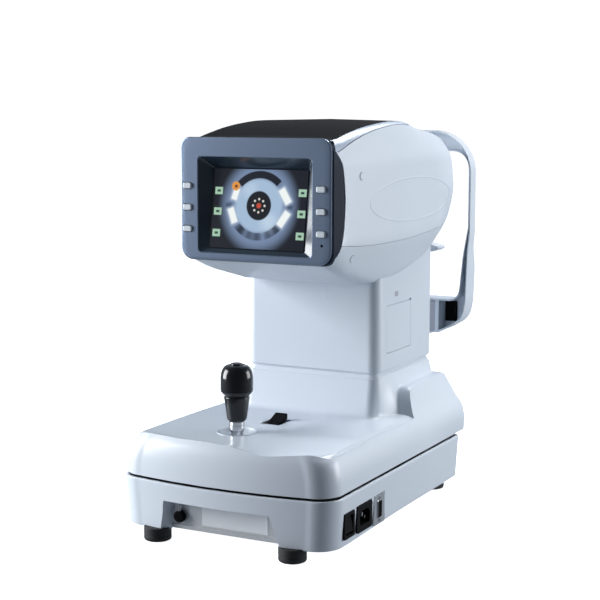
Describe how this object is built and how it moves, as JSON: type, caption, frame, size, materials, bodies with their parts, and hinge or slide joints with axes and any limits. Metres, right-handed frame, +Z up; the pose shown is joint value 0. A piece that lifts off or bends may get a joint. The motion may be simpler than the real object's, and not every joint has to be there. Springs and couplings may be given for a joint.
{
  "type": "auto refractor keratometer",
  "caption": "Table-top auto refractor with keratometer: a tilted screen and optics head on a lifting column, a joystick-driven sliding stage on a base, and a headrest arch with chin rest.",
  "frame": {"origin": "on the table top, below the centre of the instrument's bounding box", "axes": "+Z up; +Y points from the operator to the patient, along the optical axis; +X is the operator's right"},
  "size_m": [0.262, 0.49, 0.452],
  "materials": {
    "shell_white": "satin moulded plastic",
    "bezel_blue": "metallic slate plastic",
    "gloss_black": "glossy black plastic",
    "satin_black": "satin black plastic",
    "trim_silver": "silver paint",
    "rubber_black": "matte rubber",
    "chrome": "polished",
    "ground_steel": "ground",
    "machined_aluminium": "machined",
    "dark_plate": "powder coat",
    "brushed_plate": "brushed",
    "board_green": "solder mask",
    "lens_glass": "coated optical glass",
    "screen_dark": "screen",
    "paper_white": "thermal paper",
    "rest_white": "smooth satin plastic",
    "insert_grey": "satin plastic",
    "key_grey": "satin plastic"
  },
  "bodies": {
    "base": {"base_housing": "shell_white", "bottom_plate": "brushed_plate", "base_deck": "dark_plate", "front_plate": "brushed_plate", "feet": "rubber_black", "base_screws": "ground_steel", "power_inlet": "satin_black", "switch_frame": "satin_black", "serial_port": "brushed_plate", "power_supply": "machined_aluminium", "depth_rails": "ground_steel", "rail_supports": "machined_aluminium", "friction_pad": "dark_plate", "headrest_post": "shell_white", "headrest_frame": "shell_white", "headrest_insert": "insert_grey", "forehead_pad": "rest_white", "chin_guide": "machined_aluminium"},
    "transport_lock": {"transport_lock": "satin_black"},
    "power_rocker": {"power_rocker": "satin_black"},
    "cross_slide": {"slide_plate": "machined_aluminium", "depth_bushings": "machined_aluminium", "cross_bushings": "machined_aluminium"},
    "carriage": {"carriage_plate": "machined_aluminium", "cross_rails": "ground_steel", "rail_ends": "machined_aluminium", "carriage_cover": "shell_white", "joystick_well": "trim_silver", "joystick_socket": "dark_plate", "guide_rods": "ground_steel", "lift_motor": "dark_plate"},
    "lock_lever": {"lock_lever": "satin_black"},
    "joystick_gimbal": {"joystick_gimbal": "machined_aluminium"},
    "joystick_stick": {"joystick_shaft": "chrome"},
    "joystick_grip": {"joystick_grip": "gloss_black"},
    "trigger_button": {"trigger_button": "gloss_black"},
    "lift_screw": {"lift_screw": "ground_steel"},
    "head": {"column_cover": "shell_white", "column_sleeve": "shell_white", "head_housing": "shell_white", "head_lower_cover": "shell_white", "top_cover": "satin_black", "top_trim": "trim_silver", "bezel": "bezel_blue", "lcd_panel": "screen_dark", "lift_block": "machined_aluminium", "optics_barrel": "dark_plate", "objective_window": "lens_glass", "mire_ring": "satin_black", "control_board": "board_green", "printer_unit": "satin_black"},
    "printer_door": {"printer_door": "shell_white"},
    "paper_roll": {"paper_roll": "paper_white"},
    "chin_rest": {"chin_rest": "rest_white"},
    "key_1": {"key_1": "key_grey"},
    "key_2": {"key_2": "key_grey"},
    "key_3": {"key_3": "key_grey"},
    "key_4": {"key_4": "key_grey"},
    "key_5": {"key_5": "key_grey"},
    "key_6": {"key_6": "key_grey"}
  },
  "joints": [
    {"name": "stage_depth", "type": "slide", "parent": "base", "child": "cross_slide", "axis": [0, 1, 0], "range_m": [-0.034, 0.006]},
    {"name": "stage_cross", "type": "slide", "parent": "cross_slide", "child": "carriage", "axis": [1, 0, 0], "range_m": [-0.043, 0.043]},
    {"name": "head_lift", "type": "slide", "parent": "carriage", "child": "head", "axis": [0, 0, 1], "range_m": [0, 0.032]},
    {"name": "lift_screw_turn", "type": "hinge", "parent": "carriage", "child": "lift_screw", "pos_m": [0, 0.1, 0.2], "axis": [0, 0, 1], "range_deg": [0, 1440]},
    {"name": "joystick_pitch", "type": "hinge", "parent": "carriage", "child": "joystick_gimbal", "pos_m": [-0.0225, -0.16, 0.092], "axis": [1, 0, 0], "range_deg": [-10, 10]},
    {"name": "joystick_roll", "type": "hinge", "parent": "joystick_gimbal", "child": "joystick_stick", "pos_m": [-0.0225, -0.16, 0.092], "axis": [0, 1, 0], "range_deg": [-10, 10]},
    {"name": "grip_twist", "type": "hinge", "parent": "joystick_stick", "child": "joystick_grip", "pos_m": [-0.0225, -0.16, 0.14], "axis": [0, 0, 1], "range_deg": [0, 360]},
    {"name": "trigger_press", "type": "slide", "parent": "joystick_grip", "child": "trigger_button", "axis": [0, 0, -1], "range_m": [0, 0.0022], "stiffness_N_per_m": 900, "springref_m": -0.001},
    {"name": "lock_lever_tilt", "type": "hinge", "parent": "carriage", "child": "lock_lever", "pos_m": [-0.0085, -0.104, 0.105], "axis": [1, 0, 0], "range_deg": [0, 35]},
    {"name": "transport_lock_turn", "type": "hinge", "parent": "base", "child": "transport_lock", "pos_m": [-0.054, -0.228, 0.029], "axis": [0, 1, 0], "range_deg": [0, 90]},
    {"name": "power_rocker_tilt", "type": "hinge", "parent": "base", "child": "power_rocker", "pos_m": [0.1256, -0.193, 0.035], "axis": [0, 1, 0], "range_deg": [0, 16]},
    {"name": "chin_rest_height", "type": "slide", "parent": "base", "child": "chin_rest", "axis": [0, 0, 1], "range_m": [-0.03, 0.03]},
    {"name": "printer_door_swing", "type": "hinge", "parent": "head", "child": "printer_door", "pos_m": [0.0848, 0.0335, 0.184], "axis": [0, 1, 0], "range_deg": [0, 95]},
    {"name": "paper_roll_spin", "type": "hinge", "parent": "head", "child": "paper_roll", "pos_m": [0.057, 0.0335, 0.208], "axis": [0, 1, 0], "continuous": true},
    {"name": "key_1_press", "type": "slide", "parent": "head", "child": "key_1", "axis": [0, 1, 0], "range_m": [0, 0.0012], "stiffness_N_per_m": 1200, "springref_m": -0.0005},
    {"name": "key_2_press", "type": "slide", "parent": "head", "child": "key_2", "axis": [0, 1, 0], "range_m": [0, 0.0012], "stiffness_N_per_m": 1200, "springref_m": -0.0005},
    {"name": "key_3_press", "type": "slide", "parent": "head", "child": "key_3", "axis": [0, 1, 0], "range_m": [0, 0.0012], "stiffness_N_per_m": 1200, "springref_m": -0.0005},
    {"name": "key_4_press", "type": "slide", "parent": "head", "child": "key_4", "axis": [0, 1, 0], "range_m": [0, 0.0012], "stiffness_N_per_m": 1200, "springref_m": -0.0005},
    {"name": "key_5_press", "type": "slide", "parent": "head", "child": "key_5", "axis": [0, 1, 0], "range_m": [0, 0.0012], "stiffness_N_per_m": 1200, "springref_m": -0.0005},
    {"name": "key_6_press", "type": "slide", "parent": "head", "child": "key_6", "axis": [0, 1, 0], "range_m": [0, 0.0012], "stiffness_N_per_m": 1200, "springref_m": -0.0005}
  ],
  "couplings": [
    {"joint": "lift_screw_turn", "follows": "head_lift", "rad_per_m": 785.4},
    {"joint": "grip_twist", "follows": "head_lift", "rad_per_m": 196.35}
  ]
}
